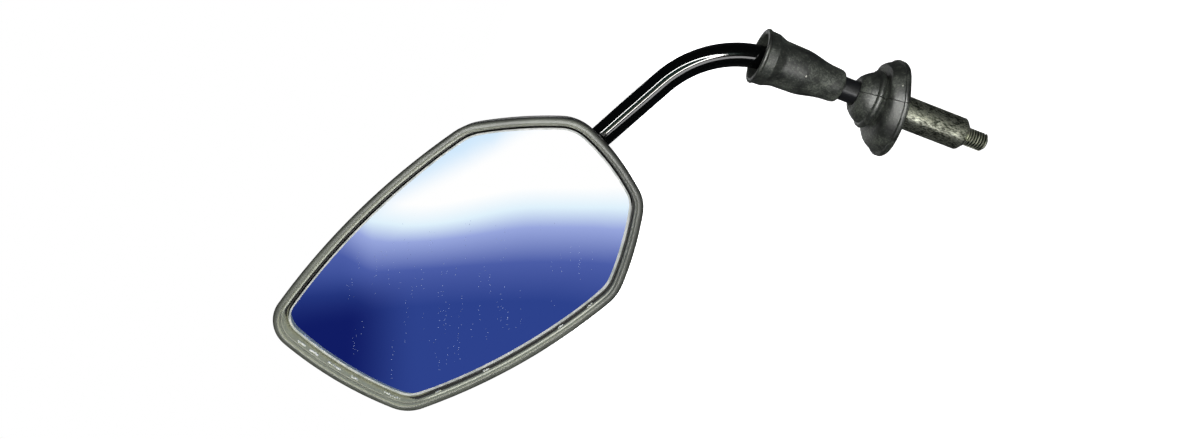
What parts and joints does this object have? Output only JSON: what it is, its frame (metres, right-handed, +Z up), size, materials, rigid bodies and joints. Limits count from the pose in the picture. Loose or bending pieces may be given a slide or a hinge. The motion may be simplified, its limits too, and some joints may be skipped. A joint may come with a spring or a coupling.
{
  "type": "motorcycle mirror",
  "caption": "Left-hand rear-view mirror: bowed polygonal glass head on a ball joint, bent round stem, rubber boot and grommet, and a mounting pin with a threaded end.",
  "frame": {"origin": "middle of the mounting pin's shoulder, where the threaded end begins", "axes": "+Z up along the pin towards the stem, the stem bends towards -X in the XZ plane, the glass faces about -Y"},
  "size_m": [0.2071, 0.0501, 0.2578],
  "materials": {
    "zinc_plated_steel": "bright zinc plate, mottled",
    "black_painted_steel": "gloss black paint",
    "moulded_rubber": "matte, scuffed",
    "steel": "bright",
    "acetal": "natural acetal",
    "housing_plastic": "fine moulded grain",
    "carrier_plastic": "moulded",
    "foam": "foam pad with adhesive",
    "mirror_glass": "silvered, blue anti-glare tint"
  },
  "bodies": {
    "mount": {"mount_pin": "zinc_plated_steel", "adapter": "black_painted_steel", "grommet": "moulded_rubber"},
    "boot": {"boot": "moulded_rubber"},
    "stem": {"stem": "black_painted_steel", "lock_nut": "steel"},
    "ball": {"ball": "steel"},
    "socket": {"ball_seat_front": "acetal", "ball_seat_rear": "acetal"},
    "head": {"housing": "housing_plastic", "glass_carrier": "carrier_plastic", "glass_pad": "foam", "glass": "mirror_glass", "clamp_plate": "steel", "clamp_screws": "steel", "disc_spring": "steel"}
  },
  "joints": [
    {"name": "stem_swivel", "type": "hinge", "parent": "mount", "child": "stem", "pos_m": [0, 0, 0.085], "axis": [0, 0, 1], "range_deg": [-60, 60]},
    {"name": "boot_slide", "type": "slide", "parent": "mount", "child": "boot", "axis": [0, 0, -1], "range_m": [0, 0.0065]},
    {"name": "head_tilt", "type": "hinge", "parent": "stem", "child": "ball", "pos_m": [-0.07946, 0, 0.15945], "axis": [-0.8829, 0, 0.4695], "range_deg": [-40, 40]},
    {"name": "head_pan", "type": "hinge", "parent": "ball", "child": "socket", "pos_m": [-0.07946, 0, 0.15945], "axis": [-0.4677, -0.0872, -0.8796], "range_deg": [-8, 18]},
    {"name": "head_roll", "type": "hinge", "parent": "socket", "child": "head", "pos_m": [-0.07946, 0, 0.15945], "axis": [0.0409, -0.9962, 0.077], "range_deg": [-10, 10]}
  ]
}
